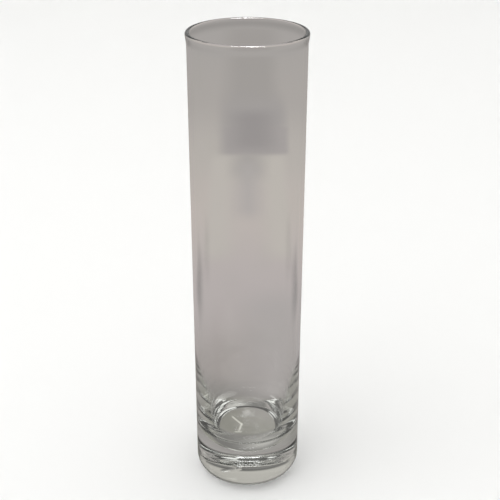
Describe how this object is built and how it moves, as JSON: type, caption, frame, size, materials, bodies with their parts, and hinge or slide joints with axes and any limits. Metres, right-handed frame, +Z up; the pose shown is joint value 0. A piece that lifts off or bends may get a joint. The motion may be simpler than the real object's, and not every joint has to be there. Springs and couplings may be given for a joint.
{
  "type": "glass cylinder vase",
  "caption": "Tall straight round vase of clear glass with a slightly flared fire-polished rim and a thick rounded base, for holding cut flowers in water.",
  "frame": {"origin": "centre of the flat ring that the vase stands on, at the height of that ring", "axes": "+Z up along the vase's axis to the open rim; X and Y are any two level directions, because the vase is round"},
  "size_m": [0.0714, 0.0714, 0.305],
  "materials": {
    "glass": "polished clear soda-lime glass with a trace of green"
  },
  "bodies": {
    "root": {"foot": "glass", "bowl": "glass", "wall": "glass", "rim": "glass"}
  },
  "joints": []
}
